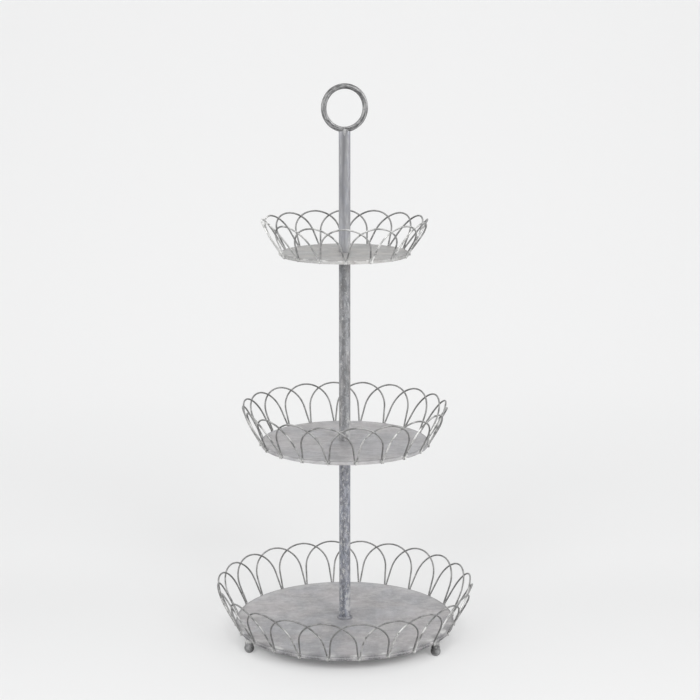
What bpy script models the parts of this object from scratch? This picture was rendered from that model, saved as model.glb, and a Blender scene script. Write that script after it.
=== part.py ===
"""Three-tier round tray stand in zinc-washed steel.

Three flat sheet trays with turned-down rims are clamped between the sections of a tube post.
Each tray carries a gallery of overlapping wire loops, the post ends in a ring handle, and the
bottom tray stands on three turned ball feet. Metres, +Z up, with the origin on the floor under
the post.
"""

from math import asin, cos, hypot, pi, radians, sin, sqrt, tan

import bmesh
import bpy

# Clearance between neighbouring pieces
GAP = 0.0003

# Post
POST_DIAMETER = 0.016
POST_WALL = 0.0015
LOWER_TRAY_SPACING = 0.263
UPPER_TRAY_SPACING = 0.268
UPPER_POST_LENGTH = 0.1658

# Threaded joints inside the post
STUD_DIAMETER = 0.008
STUD_CHAMFER = 0.0008
PLUG_LENGTH = 0.014

# Ring handle
RING_OUTER_DIAMETER = 0.066
RING_ROD_DIAMETER = 0.0076
RING_SINK = 0.0017
RING_TURN_DEGREES = 15
WELD_CROWN_HEIGHT = 0.0026
WELD_CROWN_DIAMETER = 0.0144
WELD_TOP_SHARE = 0.67
WELD_EDGE_SHARE = 0.33

# Trays
BOTTOM_TRAY_DIAMETER = 0.313
MIDDLE_TRAY_DIAMETER = 0.2364
TOP_TRAY_DIAMETER = 0.1773
TRAY_SHEET = 0.0012
RIM_DEPTH = 0.005
RIM_CORNER = 0.0011
POST_SEAT_DIAMETER = 0.026
POST_SEAT_DEPTH = 0.0003

# Wire galleries
WIRE_DIAMETER = 0.0024
GALLERY_FLARE = 0.026
BOTTOM_GALLERY_RISE = 0.0566
MIDDLE_GALLERY_RISE = 0.0525
TOP_GALLERY_RISE = 0.045
BOTTOM_LOOPS = 24
MIDDLE_LOOPS = 20
TOP_LOOPS = 16
BOTTOM_TURN_DEGREES = 7.1
MIDDLE_TURN_DEGREES = 7.3
TOP_TURN_DEGREES = 1.0
ARCH_SHARE = 0.6

# Feet
FOOT_BALL_DIAMETER = 0.014
FOOT_NECK_DIAMETER = 0.0122
FOOT_FLAT_DIAMETER = 0.004
FOOT_HEIGHT = 0.0211
FOOT_INSET = 0.0056
FOOT_CHAMFER = 0.0008
FEET_TURN_DEGREES = -2.7

# Fixing under the bottom tray, and the collar that hides the post's lower joint
WASHER_DIAMETER = 0.024
WASHER_THICKNESS = 0.0016
BOLT_HEAD_WIDTH = 0.013
BOLT_HEAD_HEIGHT = 0.0053
COLLAR_DIAMETER = 0.022
COLLAR_HEIGHT = 0.003
COLLAR_TOP_WIDTH = 0.001
COLLAR_EDGE = 0.0008

# Facets
RIM_FACETS_PER_LOOP = 3
TUBE_FACETS = 20
FIXING_FACETS = 12
FOOT_FACETS = 14
HEXAGON_SIDES = 6
RING_FACETS = 36
ROD_FACETS = 8
ARCH_FACETS = 8
FOOT_ARC_FACETS = 3
SMOOTH_DEGREES = 40

# Derived sizes
POST_RADIUS = POST_DIAMETER / 2
POST_BORE_RADIUS = POST_RADIUS - POST_WALL
PLUG_RADIUS = POST_BORE_RADIUS - GAP
STUD_RADIUS = STUD_DIAMETER / 2
STUD_HOLE_RADIUS = STUD_RADIUS + GAP
WIRE_RADIUS = WIRE_DIAMETER / 2
WIRE_SPACING = WIRE_DIAMETER + GAP
RING_ROD_RADIUS = RING_ROD_DIAMETER / 2
RING_RADIUS = RING_OUTER_DIAMETER / 2 - RING_ROD_RADIUS

# Levels above the floor: each tray's level is its upper face
RIM_EDGE_LEVEL = FOOT_HEIGHT + GAP
BOTTOM_LEVEL = RIM_EDGE_LEVEL + RIM_DEPTH
MIDDLE_LEVEL = BOTTOM_LEVEL + LOWER_TRAY_SPACING
TOP_LEVEL = MIDDLE_LEVEL + UPPER_TRAY_SPACING
POST_TOP_LEVEL = TOP_LEVEL - POST_SEAT_DEPTH + GAP + UPPER_POST_LENGTH
RING_LEVEL = POST_TOP_LEVEL - RING_SINK + RING_OUTER_DIAMETER / 2


class Tier:
    """One tray with its gallery: its sizes, its level and how far it is turned on the post."""

    def __init__(self, name, level, diameter, rise, loops, turn_degrees):
        self.name = name
        self.level = level
        self.seat_level = level - POST_SEAT_DEPTH + GAP
        self.radius = diameter / 2
        self.rise = rise
        self.loops = loops
        self.turn = radians(turn_degrees)
        self.pitch = 2 * pi / loops


BOTTOM = Tier("bottom", BOTTOM_LEVEL, BOTTOM_TRAY_DIAMETER, BOTTOM_GALLERY_RISE,
              BOTTOM_LOOPS, BOTTOM_TURN_DEGREES)
MIDDLE = Tier("middle", MIDDLE_LEVEL, MIDDLE_TRAY_DIAMETER, MIDDLE_GALLERY_RISE,
              MIDDLE_LOOPS, MIDDLE_TURN_DEGREES)
TOP = Tier("top", TOP_LEVEL, TOP_TRAY_DIAMETER, TOP_GALLERY_RISE,
           TOP_LOOPS, TOP_TURN_DEGREES)


# Scene and materials

def clear_scene():
    for item in list(bpy.data.objects):
        bpy.data.objects.remove(item, do_unlink=True)


def metal(name, colour, roughness, metallic):
    material = bpy.data.materials.new(name)
    material.use_nodes = True
    shader = material.node_tree.nodes["Principled BSDF"]
    shader.inputs["Base Color"].default_value = (*colour, 1)
    shader.inputs["Roughness"].default_value = roughness
    shader.inputs["Metallic"].default_value = metallic
    return material


def washed_sheet():
    return metal("washed_sheet", (0.42, 0.42, 0.42), 0.55, 0.6)


def washed_tube():
    return metal("washed_tube", (0.34, 0.35, 0.37), 0.5, 0.7)


def dark_wire():
    return metal("dark_wire", (0.2, 0.2, 0.2), 0.5, 0.7)


def cast_foot():
    return metal("cast_foot", (0.16, 0.16, 0.17), 0.5, 0.6)


def plated_steel():
    return metal("plated_steel", (0.5, 0.5, 0.5), 0.35, 1.0)


# Shared modelling steps

def add_object(name, data, material, parent=None):
    item = bpy.data.objects.new(name, data)
    bpy.context.collection.objects.link(item)
    if not data.materials:
        data.materials.append(material)
    item.parent = parent
    return item


def finish_mesh(name, shape):
    """Turn a bmesh into a mesh that faces outward and is smooth except at its edges."""
    bmesh.ops.recalc_face_normals(shape, faces=shape.faces)
    mesh = bpy.data.meshes.new(name)
    shape.to_mesh(mesh)
    shape.free()
    mesh.shade_smooth()
    mesh.set_sharp_from_angle(angle=radians(SMOOTH_DEGREES))
    return mesh


def turned_mesh(name, outline, facets):
    """Spin a closed outline of (radius, height) points about Z."""
    shape = bmesh.new()
    corners = [shape.verts.new((radius, 0, height)) for radius, height in outline]
    edges = [shape.edges.new((corners[i - 1], corners[i])) for i in range(len(corners))]
    bmesh.ops.spin(shape, geom=corners + edges, cent=(0, 0, 0), axis=(0, 0, 1),
                   angle=2 * pi, steps=facets, use_merge=True)
    return finish_mesh(name, shape)


def solid_turned_mesh(name, outline, facets):
    """Spin an outline whose first and last points lie on the axis into a solid."""
    shape = bmesh.new()
    first, last = outline[0][1], outline[-1][1]
    rings = []
    for radius, height in outline[1:-1]:
        turns = [2 * pi * i / facets for i in range(facets)]
        rings.append([shape.verts.new((radius * cos(a), radius * sin(a), height)) for a in turns])
    for upper, lower in zip(rings, rings[1:]):
        for i in range(facets):
            j = (i + 1) % facets
            shape.faces.new((upper[i], upper[j], lower[j], lower[i]))
    close_end(shape, rings[0], first)
    close_end(shape, rings[-1], last)
    return finish_mesh(name, shape)


def close_end(shape, ring, height):
    """Close a ring of corners with one flat face, or with a fan up to a centre point."""
    if abs(ring[0].co.z - height) < GAP / 2:
        shape.faces.new(ring)
        return
    centre = shape.verts.new((0, 0, height))
    for i, corner in enumerate(ring):
        shape.faces.new((corner, ring[(i + 1) % len(ring)], centre))


def tube_outline(outer, inner, length):
    return [(inner, 0), (outer, 0), (outer, length), (inner, length)]


def pin_outline(radius, bottom, top, chamfer):
    """Outline of a solid pin with chamfered ends."""
    return [(0, top), (radius - chamfer, top), (radius, top - chamfer),
            (radius, bottom + chamfer), (radius - chamfer, bottom), (0, bottom)]


def as_cutter(item):
    item.hide_render = True
    item.display_type = "WIRE"
    return item


def combine(item, other, operation):
    step = item.modifiers.new(operation.lower(), "BOOLEAN")
    step.operation = operation
    step.solver = "EXACT"
    step.object = other


# Trays

def tray_outline(tier):
    """Half section of a tray: sheet with a stud hole and a rim turned down."""
    outer = tier.radius
    inner = outer - TRAY_SHEET
    return [(STUD_HOLE_RADIUS, -TRAY_SHEET), (STUD_HOLE_RADIUS, 0), (outer - RIM_CORNER, 0),
            (outer, -RIM_CORNER), (outer, -RIM_DEPTH), (inner, -RIM_DEPTH), (inner, -TRAY_SHEET)]


def make_tray(tier, material, parent):
    facets = RIM_FACETS_PER_LOOP * tier.loops
    mesh = turned_mesh(tier.name + "_tray", tray_outline(tier), facets)
    tray = add_object(tier.name + "_tray", mesh, material, parent)
    press_seat(tray, tier, material, parent)


def press_seat(tray, tier, material, parent):
    """Press a shallow round seat for the post into the sheet's upper face."""
    radius = POST_SEAT_DIAMETER / 2
    outline = [(0, POST_SEAT_DEPTH), (radius, POST_SEAT_DEPTH),
               (radius, -POST_SEAT_DEPTH), (0, -POST_SEAT_DEPTH)]
    mesh = solid_turned_mesh(tier.name + "_seat", outline, FIXING_FACETS)
    cutter = as_cutter(add_object(tier.name + "_seat", mesh, material, parent))
    combine(tray, cutter, "DIFFERENCE")


# Wire galleries

def foot_radius(tier):
    """Distance from the post's axis to a wire that lies against the rim."""
    return tier.radius + GAP + WIRE_RADIUS


def foot_half_angle(tier):
    """Angle from the middle of a foot to each of its two wires, which lie side by side."""
    return asin(WIRE_SPACING / 2 / foot_radius(tier))


def arch_frame(tier):
    """Plane of one loop: its distance at the feet, half its span, and its lean out and up."""
    reach = tier.pitch - foot_half_angle(tier)
    distance = foot_radius(tier) * cos(reach)
    half_span = foot_radius(tier) * sin(reach)
    lean_out = tier.radius + GALLERY_FLARE - distance
    return distance, half_span, lean_out


def crossing_shares(tier):
    """Where a loop crosses the next one: its share of the half span and of the rise."""
    distance, half_span, lean_out = arch_frame(tier)
    height_share = 1
    for _ in range(8):
        across = (distance + lean_out * height_share) * tan(tier.pitch / 2)
        side_share = across / half_span
        height_share = 1 - ARCH_SHARE + ARCH_SHARE * sqrt(max(0, 1 - side_share ** 2))
    return side_share, height_share


def loop_point(tier, side_share, height_share):
    """A point of the loop whose plane faces +X, at shares of its half span and of its rise.

    The loop is turned a little in its own plane's normal direction, so that its leading leg
    passes outside the next loop and its trailing leg passes inside the one before.
    """
    distance, half_span, lean_out = arch_frame(tier)
    crossing_side, crossing_height = crossing_shares(tier)
    slope = hypot(lean_out, tier.rise)
    twist = WIRE_SPACING / 2 * side_share * height_share / (crossing_side * crossing_height)
    out = distance + lean_out * height_share + twist * tier.rise / slope
    up = tier.rise * height_share - twist * lean_out / slope
    return out, half_span * side_share, up


def turn_point(point, angle):
    x, y, z = point
    return x * cos(angle) - y * sin(angle), x * sin(angle) + y * cos(angle), z


def loop_points(tier, angle):
    """One loop from its trailing foot to its leading foot: leg, half-ellipse arch, leg."""
    shares = [(-1, 0)]
    for step in range(ARCH_FACETS + 1):
        swing = pi * step / ARCH_FACETS
        shares.append((-cos(swing), 1 - ARCH_SHARE + ARCH_SHARE * sin(swing)))
    shares.append((1, 0))
    return [turn_point(loop_point(tier, side, height), angle) for side, height in shares]


def rim_point(tier, angle, height):
    return foot_radius(tier) * cos(angle), foot_radius(tier) * sin(angle), height


def double_loop_points(tier):
    """Two loops that share a folded foot, starting from the foot at angle zero."""
    half = foot_half_angle(tier)
    start = rim_point(tier, half, -RIM_DEPTH)
    fold = [rim_point(tier, 2 * tier.pitch + side, -RIM_DEPTH + WIRE_RADIUS)
            for side in (-half, half)]
    end = rim_point(tier, 4 * tier.pitch - half, -RIM_DEPTH)
    return ([start] + loop_points(tier, tier.pitch) + fold
            + loop_points(tier, 3 * tier.pitch) + [end])


def wire_curve(name, points):
    curve = bpy.data.curves.new(name, "CURVE")
    curve.dimensions = "3D"
    curve.bevel_depth = WIRE_RADIUS
    curve.bevel_resolution = 1
    curve.use_fill_caps = True
    line = curve.splines.new("POLY")
    line.points.add(len(points) - 1)
    for knot, (x, y, z) in zip(line.points, points):
        knot.co = (x, y, z, 1)
    line.use_smooth = True
    return curve


def make_gallery(tier, material, parent):
    """Place the double loops in woven pairs: one starts at a foot and its mate at the next foot."""
    curve = wire_curve(tier.name + "_gallery_wire", double_loop_points(tier))
    number = 0
    for first_foot in range(0, tier.loops, 4):
        for foot in (first_foot, first_foot + 1):
            number += 1
            name = f"{tier.name}_gallery_wire_{number:02d}"
            wire = add_object(name, curve, material, parent)
            wire.rotation_euler.z = foot * tier.pitch


def make_tier(tier, sheet, wire):
    centre = bpy.data.objects.new(tier.name + "_tier", None)
    bpy.context.collection.objects.link(centre)
    centre.location.z = tier.level
    centre.rotation_euler.z = tier.turn
    make_tray(tier, sheet, centre)
    make_gallery(tier, wire, centre)


# Post and its joints

def make_post(name, bottom, top, material):
    outline = tube_outline(POST_RADIUS, POST_BORE_RADIUS, top - bottom)
    post = add_object(name, turned_mesh(name, outline, TUBE_FACETS), material)
    post.location.z = bottom
    return post


def make_threaded_plug(name, bottom, material):
    """Bush fixed inside a post's end, which takes a stud."""
    outline = tube_outline(PLUG_RADIUS, STUD_HOLE_RADIUS, PLUG_LENGTH)
    plug = add_object(name, turned_mesh(name, outline, FIXING_FACETS), material)
    plug.location.z = bottom
    return plug


def make_tray_joint(tier, lower_post, upper_post, material):
    """Stud through a tray, held by a plug in the post below and one in the post above."""
    under = tier.level - TRAY_SHEET - GAP
    over = tier.seat_level
    make_threaded_plug(lower_post + "_upper_plug", under - PLUG_LENGTH, material)
    make_threaded_plug(upper_post + "_lower_plug", over, material)
    name = tier.name + "_tray_stud"
    bottom = under - PLUG_LENGTH + STUD_CHAMFER
    top = over + PLUG_LENGTH - STUD_CHAMFER
    outline = pin_outline(STUD_RADIUS, 0, top - bottom, STUD_CHAMFER)
    stud = add_object(name, solid_turned_mesh(name, outline, FIXING_FACETS), material)
    stud.location.z = bottom


def make_posts(material, fixings):
    lower_top = MIDDLE.level - TRAY_SHEET - GAP
    middle_top = TOP.level - TRAY_SHEET - GAP
    make_post("lower_post", BOTTOM.seat_level, lower_top, material)
    make_post("middle_post", MIDDLE.seat_level, middle_top, material)
    upper_post = make_post("upper_post", TOP.seat_level, POST_TOP_LEVEL, material)
    make_threaded_plug("lower_post_lower_plug", BOTTOM.seat_level, fixings)
    make_tray_joint(MIDDLE, "lower_post", "middle_post", fixings)
    make_tray_joint(TOP, "middle_post", "upper_post", fixings)
    return upper_post


# Ring handle and its seat

def ring_mesh(name, rod_radius):
    """Torus standing upright, with its hole along Y."""
    shape = bmesh.new()
    rings = []
    for step in range(RING_FACETS):
        around = 2 * pi * step / RING_FACETS
        ring = []
        for part in range(ROD_FACETS):
            turn = 2 * pi * part / ROD_FACETS
            reach = RING_RADIUS + rod_radius * cos(turn)
            ring.append(shape.verts.new((reach * sin(around), rod_radius * sin(turn),
                                         -reach * cos(around))))
        rings.append(ring)
    for i, ring in enumerate(rings):
        following = rings[(i + 1) % RING_FACETS]
        for j in range(ROD_FACETS):
            k = (j + 1) % ROD_FACETS
            shape.faces.new((ring[j], ring[k], following[k], following[j]))
    return finish_mesh(name, shape)


def place_ring(item):
    item.location.z = RING_LEVEL
    item.rotation_euler.z = radians(RING_TURN_DEGREES)
    return item


def make_ring_handle(material):
    return place_ring(add_object("ring_handle", ring_mesh("ring_handle", RING_ROD_RADIUS), material))


def make_ring_seat(material):
    """Plug that closes the post's top, with a crown of weld drawn up on both sides of the ring."""
    crown_radius = WELD_CROWN_DIAMETER / 2
    outline = [(0, WELD_CROWN_HEIGHT), (crown_radius * WELD_TOP_SHARE, WELD_CROWN_HEIGHT),
               (crown_radius, WELD_CROWN_HEIGHT * WELD_EDGE_SHARE), (crown_radius, GAP),
               (PLUG_RADIUS, GAP), (PLUG_RADIUS, -PLUG_LENGTH), (0, -PLUG_LENGTH)]
    plug = add_object("ring_seat_plug", solid_turned_mesh("ring_seat_plug", outline, TUBE_FACETS),
                      material)
    plug.location.z = POST_TOP_LEVEL
    return plug


def seat_ring(upper_post, plug, material):
    """Cope the post and its plug to the ring's rod."""
    cope = ring_mesh("ring_cope", RING_ROD_RADIUS + GAP)
    cutter = place_ring(as_cutter(add_object("ring_cope", cope, material)))
    combine(upper_post, cutter, "DIFFERENCE")
    combine(plug, cutter, "DIFFERENCE")


# Base

def make_collar(material):
    """Tapered collar that hides the joint between the lower post and the bottom tray."""
    inner = POST_RADIUS + GAP
    outer = COLLAR_DIAMETER / 2
    outline = [(inner, 0), (outer, 0), (outer, COLLAR_EDGE),
               (inner + COLLAR_TOP_WIDTH, COLLAR_HEIGHT), (inner, COLLAR_HEIGHT)]
    collar = add_object("base_collar", turned_mesh("base_collar", outline, TUBE_FACETS), material)
    collar.location.z = BOTTOM.seat_level


def make_washer(material):
    outline = tube_outline(WASHER_DIAMETER / 2, STUD_HOLE_RADIUS, WASHER_THICKNESS)
    washer = add_object("base_washer", turned_mesh("base_washer", outline, FIXING_FACETS), material)
    washer.location.z = washer_level()


def washer_level():
    return BOTTOM.level - TRAY_SHEET - GAP - WASHER_THICKNESS


def make_bolt(material):
    """Hexagon bolt that pulls the lower post down on the bottom tray."""
    head_radius = BOLT_HEAD_WIDTH / 2 / cos(pi / HEXAGON_SIDES)
    head_outline = pin_outline(head_radius, 0, BOLT_HEAD_HEIGHT, STUD_CHAMFER)
    head_mesh = solid_turned_mesh("base_bolt", head_outline, HEXAGON_SIDES)
    bolt = add_object("base_bolt", head_mesh, material)
    bolt.location.z = washer_level() - GAP - BOLT_HEAD_HEIGHT
    top = BOTTOM.seat_level + PLUG_LENGTH - STUD_CHAMFER - bolt.location.z
    shank_outline = pin_outline(STUD_RADIUS, BOLT_HEAD_HEIGHT / 2, top, STUD_CHAMFER)
    shank_mesh = solid_turned_mesh("bolt_shank", shank_outline, FIXING_FACETS)
    shank = as_cutter(add_object("bolt_shank", shank_mesh, material))
    shank.location.z = bolt.location.z
    combine(bolt, shank, "UNION")


def foot_outline(tier):
    """Turned foot: ball with a small flat, short neck, shoulder under the rim, spigot inside it."""
    ball = FOOT_BALL_DIAMETER / 2
    flat = FOOT_FLAT_DIAMETER / 2
    neck = FOOT_NECK_DIAMETER / 2
    spigot = FOOT_INSET - TRAY_SHEET - 2 * GAP
    spigot_top = tier.level - TRAY_SHEET - GAP
    low = -asin(sqrt(1 - (flat / ball) ** 2))
    high = asin(sqrt(1 - (neck / ball) ** 2))
    centre = -ball * sin(low)
    points = [(0, 0)]
    for step in range(FOOT_ARC_FACETS + 1):
        swing = low + (high - low) * step / FOOT_ARC_FACETS
        points.append((ball * cos(swing), centre + ball * sin(swing)))
    points += [(neck, FOOT_HEIGHT - FOOT_CHAMFER), (neck - FOOT_CHAMFER, FOOT_HEIGHT),
               (spigot, FOOT_HEIGHT), (spigot, spigot_top), (0, spigot_top)]
    return points


def make_feet(tier, material):
    mesh = solid_turned_mesh("ball_foot", foot_outline(tier), FOOT_FACETS)
    reach = tier.radius - FOOT_INSET
    for name, degrees in (("front_left_foot", 210), ("front_right_foot", 330), ("back_foot", 90)):
        angle = radians(degrees + FEET_TURN_DEGREES)
        foot = add_object(name, mesh, material)
        foot.location = (reach * cos(angle), reach * sin(angle), 0)


def main():
    clear_scene()
    sheet, tube, wire, foot, steel = (washed_sheet(), washed_tube(), dark_wire(), cast_foot(),
                                      plated_steel())
    for tier in (BOTTOM, MIDDLE, TOP):
        make_tier(tier, sheet, wire)
    upper_post = make_posts(tube, steel)
    make_ring_handle(tube)
    seat_ring(upper_post, make_ring_seat(tube), steel)
    make_collar(tube)
    make_washer(steel)
    make_bolt(steel)
    make_feet(BOTTOM, foot)


main()
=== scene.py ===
"""Looks of a tiered tray stand in whitewashed zinc: its pieces, finishes, light and camera.

Lengths are metres in the frame's own axes: +Z up, the post on the Z axis, -Y towards the camera.
"""

from math import asin, atan2, cos, hypot, pi, radians, sin, sqrt, tan

import bmesh
import bpy
from mathutils import Matrix, Vector, noise


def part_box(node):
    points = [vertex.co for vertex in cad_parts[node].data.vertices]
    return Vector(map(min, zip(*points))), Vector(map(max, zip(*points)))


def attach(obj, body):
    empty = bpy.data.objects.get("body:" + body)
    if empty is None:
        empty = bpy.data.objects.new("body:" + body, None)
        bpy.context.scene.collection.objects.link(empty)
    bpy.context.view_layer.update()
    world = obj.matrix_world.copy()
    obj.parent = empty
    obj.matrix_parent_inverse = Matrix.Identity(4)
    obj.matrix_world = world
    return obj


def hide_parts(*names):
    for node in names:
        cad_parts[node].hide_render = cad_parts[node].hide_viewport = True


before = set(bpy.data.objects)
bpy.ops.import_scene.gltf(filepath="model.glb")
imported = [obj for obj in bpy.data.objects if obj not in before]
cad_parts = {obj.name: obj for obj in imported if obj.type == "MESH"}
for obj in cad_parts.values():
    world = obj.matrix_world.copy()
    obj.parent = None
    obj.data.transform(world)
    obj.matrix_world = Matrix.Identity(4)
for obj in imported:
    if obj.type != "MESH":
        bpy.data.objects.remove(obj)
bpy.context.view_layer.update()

# Camera, from the photograph's perspective
CAMERA_PLACE = (0.0074, -2.3143, 0.8792)
CAMERA_PITCH = 0.1962
LENS_MM = 86.9
SENSOR_MM = 36

# Backdrop: a floor that sweeps up into a wall, darkest inside the shadow's edge, with painted light in its
# glow beyond that edge, and the sky
FLOOR_WIDTH = 14
FLOOR_DEPTH = 7
WALL_HEIGHT = 6
SWEEP_RADIUS = 2.2
PAPER_GREY = 0.69
PAPER_GREY_OUTSIDE = 0.36
SHADOW_EDGE = (0.112, 0.16)
SKY_STRENGTH = 0.34
PALE_SKY = (0.9, 0.9, 0.9)

# Lamps: name, place, size, watts, and whether it is mirrored in the metal, lights it, or does both
LAMP_AIM = (0, 0, 0.32)
LAMPS = (
    ("left_card", (-2.6, -0.6, 1.7), 1.6, 12, "mirrored"),
    ("right_card", (2.6, -0.5, 1.7), 1.6, 26, "mirrored"),
    ("left_front_softbox", (-1.1, -2.5, 1.7), 1.2, 47, "lit"),
    ("right_front_softbox", (1.2, -2.4, 1.7), 1.2, 49, "lit"),
    ("left_low_fill", (-2.4, -1.5, 0.55), 1.0, 17, "lit"),
    ("right_low_fill", (2.4, -1.5, 0.55), 1.0, 19, "lit"),
    ("overhead_softbox", (0.0, 0.3, 3.0), 2.0, 24, "both"),
)

# Trays
TRAY_SHEET = 0.0012
RIM_DEPTH = 0.005
RIM_ROUND = 0.0014
RIM_CORNER = RIM_ROUND * 0.9
RIM_BURR = 0.00035
RIM_UNEVENNESS = 0.00045
STUD_HOLE_RADIUS = 0.0043

# Rings of faces on the flat sheet
FIRST_RING_INSET = 0.004
RING_WIDTH = 0.012
RINGS_END_RADIUS = 0.02
SEAT_EDGE_RADIUS = 0.0125

# Waves of the flat sheet, fading out at the rim and round the post
SHEET_WAVE = 0.00028
SHEET_WAVE_LENGTH = 0.055
WAVE_FADE = 0.02
STILL_RADIUS = 0.013

# Marks on the trays, and the levels of the painted shade on their rim walls
RIM_SHADE_TOP = 0.0019
RIM_SHADE_FOOT = 0.0037
RIM_BAND = 0.012
SPLASH_REACH = 0.019
WASH_AT_BACK = 0.6

# Wire galleries
WIRE_RADIUS = 0.0012
WIRE_GAP = 0.0003
GALLERY_FLARE = 0.0258
ARCH_SHARE = 0.6
HAND_BEND = 0.0012
HAND_BEND_LENGTH = 0.07
FOOT_WHITE_LENGTH = 0.006

# Parts of each gallery that are whitened, as angles from the front: the front loops' inner legs, with a
# painted highlight, and the washed ends
LEG_HIGHLIGHT_FRONT = radians(95)
WASHED_SIDE = radians(84)

# Weld dabs at the feet of the wires
DAB_WIDTHS = (0.0030, 0.0056, 0.0036)
DAB_ROUGHNESS = 0.0007
DAB_GRAIN = 0.0016

# Post
POST_RADIUS = 0.008
POST_WALL = 0.0015
END_ROUND = 0.0003
MARK_LENGTH = 0.006

# Painted dark reflection and blots, and whitewash, on each post section
DARK_REFLECTION_SIDE = radians(-103)
BLOT_END_REACH = 0.03
REFLECTION_FOOT_REACH = 0.08
WASH_FOOT_REACH = 0.05
BARE_FOOT_LENGTH = 0.0125

# Ring handle, its plug and its weld
RING_RADIUS = 0.0292
ROD_RADIUS = 0.0038
RING_TURN = radians(15)
RING_SEAM_ANGLE = radians(0.4)
CROWN_INSET = 0.002
CROWN_RISE = 0.0006
WELD_BEAD = (0.0064, 0.0056, 0.0034)
BEAD_LIFT = 0.0004
WELD_TONGUE = (0.0036, 0.0012, 0.0048)
TONGUE_TIP_SHARE = 0.22

# Feet
FOOT_BALL_RADIUS = 0.007
FOOT_NECK_RADIUS = 0.0061
FOOT_FLAT_RADIUS = 0.002
FOOT_HEIGHT = 0.0211
FOOT_CHAMFER = 0.0008
FOOT_TOP_SHARE = 0.87
FOOT_TOP_INSET = 0.0016
FOOT_WASH_LENGTH = 0.004

# Collar: its skirt, and the radius and rise of each step of its hollow curve
COLLAR_RADIUS = 0.0109
COLLAR_BORE_RADIUS = 0.0083
COLLAR_SKIRT = 0.0009
COLLAR_STEPS = ((0.0101, 0.0004), (0.0093, 0.0007), (0.0088, 0.001))

# Places of the noise that moves points each way
NOISE_PLACES = ((9.3, -1.5, -8.0), (0, 0, 0), (6.3, 0.2, -2.7))

# Whitewash, as a colour
WASH_WHITE = (0.66, 0.66, 0.65)

# Facets
RIM_FACETS = 192
POST_FACETS = 64
ARCH_FACETS = 20
RING_STEPS = 160
ROD_FACETS = 40
FOOT_FACETS = 40
FOOT_RINGS = 28


class Tier:
    """One tray with its gallery, and how far wear, painted rim shade and whitewash go on them."""

    def __init__(self, name, diameter, rise, loops, turn, **marks):
        self.name = name
        self.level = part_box(name + "_tray")[1].z
        self.radius = diameter / 2
        self.rise = rise
        self.loops = loops
        self.turn = turn
        self.pitch = 2 * pi / loops
        self.marks = marks


BOTTOM = Tier("bottom", diameter=0.313, rise=0.0566, loops=24, turn=radians(7.1),
              edge_wear=0.85, rim_shade=1.3, wash_between_feet=0.25, splash=1.0,
              washed_ends=(0.5, 0.55), washed_front=0.0)
MIDDLE = Tier("middle", diameter=0.2364, rise=0.0525, loops=20, turn=radians(7.3),
              edge_wear=0.65, rim_shade=0.6, wash_between_feet=0.55, splash=0.6,
              washed_ends=(0.45, 0.35), washed_front=0.12)
TOP = Tier("top", diameter=0.1773, rise=0.045, loops=16, turn=radians(1.0),
           edge_wear=0.7, rim_shade=0.35, wash_between_feet=0.75, splash=0.4,
           washed_ends=(1.0, 0.45), washed_front=0.3)
TIERS = (BOTTOM, MIDDLE, TOP)


def clamp(value):
    return min(1.0, max(0.0, value))


def noise_at(*spot):
    return noise.noise(Vector(spot))


def shift_at(spot):
    """Smooth shift from -1 to 1 each way, the same in every run."""
    return Vector([noise.noise(spot + Vector(away)) for away in NOISE_PLACES])


# Hand modelling steps

def start_clean():
    if bpy.context.object and bpy.context.object.mode != "OBJECT":
        bpy.ops.object.mode_set(mode="OBJECT")
    bpy.ops.object.select_all(action="DESELECT")


def named(name):
    """Name the active object and its mesh."""
    piece = bpy.context.object
    piece.name = name
    piece.data.name = name
    return piece


def add_piece(name, add, **form):
    """Add a simple mesh, name it, and put its place into it."""
    start_clean()
    add(**form)
    bpy.ops.object.transform_apply(location=True, rotation=True, scale=True)
    return named(name)


def add_cylinder(name, facets, radius, low, high, ends="NGON"):
    return add_piece(name, bpy.ops.mesh.primitive_cylinder_add, vertices=facets, radius=radius,
                     depth=high - low, end_fill_type=ends, location=(0, 0, (low + high) / 2))


def take(piece):
    """Select one piece alone and make it the active one."""
    start_clean()
    piece.select_set(True)
    bpy.context.view_layer.objects.active = piece


def open_mesh(piece, kind="FACE"):
    """Enter edit mode on one piece with nothing selected."""
    take(piece)
    bpy.ops.object.mode_set(mode="EDIT")
    bpy.ops.mesh.select_mode(type=kind)
    bpy.ops.mesh.select_all(action="DESELECT")


def close_mesh(piece):
    pick_all()
    bpy.ops.mesh.normals_make_consistent(inside=False)
    bpy.ops.object.mode_set(mode="OBJECT")
    return piece


def pick_all():
    bpy.ops.mesh.select_all(action="SELECT")


def pick(piece, kind, test):
    """Select the faces or edges of the piece in edit mode that pass the test."""
    bpy.ops.mesh.select_mode(type=kind)
    bpy.ops.mesh.select_all(action="DESELECT")
    shape = bmesh.from_edit_mesh(piece.data)
    for part in shape.faces if kind == "FACE" else shape.edges:
        if test(part):
            part.select_set(True)
    shape.select_flush_mode()
    bmesh.update_edit_mesh(piece.data)


def at_back(edge):
    return all(corner.co.y > 0 for corner in edge.verts)


def facing_up(face):
    return face.normal.z > 0.9


def facing_down(face):
    return face.normal.z < -0.9


def at_level(edge, level, slack=0.00005):
    return all(abs(corner.co.z - level) < slack for corner in edge.verts)


def at_radius(edge, radius, slack=0.00012):
    return all(abs(hypot(corner.co.x, corner.co.y) - radius) < slack for corner in edge.verts)


def draw_up(rise):
    """Extrude what is selected straight up."""
    bpy.ops.mesh.extrude_region_move(TRANSFORM_OT_translate={"value": (0, 0, rise)})


def cut_across(level, **cut):
    """Cut the whole mesh at a level."""
    pick_all()
    bpy.ops.mesh.bisect(plane_co=(0, 0, level), plane_no=(0, 0, 1), **cut)


def merge_doubles():
    pick_all()
    bpy.ops.mesh.remove_doubles(threshold=0.00001)


def soften(piece, degrees):
    take(piece)
    bpy.ops.object.shade_smooth_by_angle(angle=radians(degrees))


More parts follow.
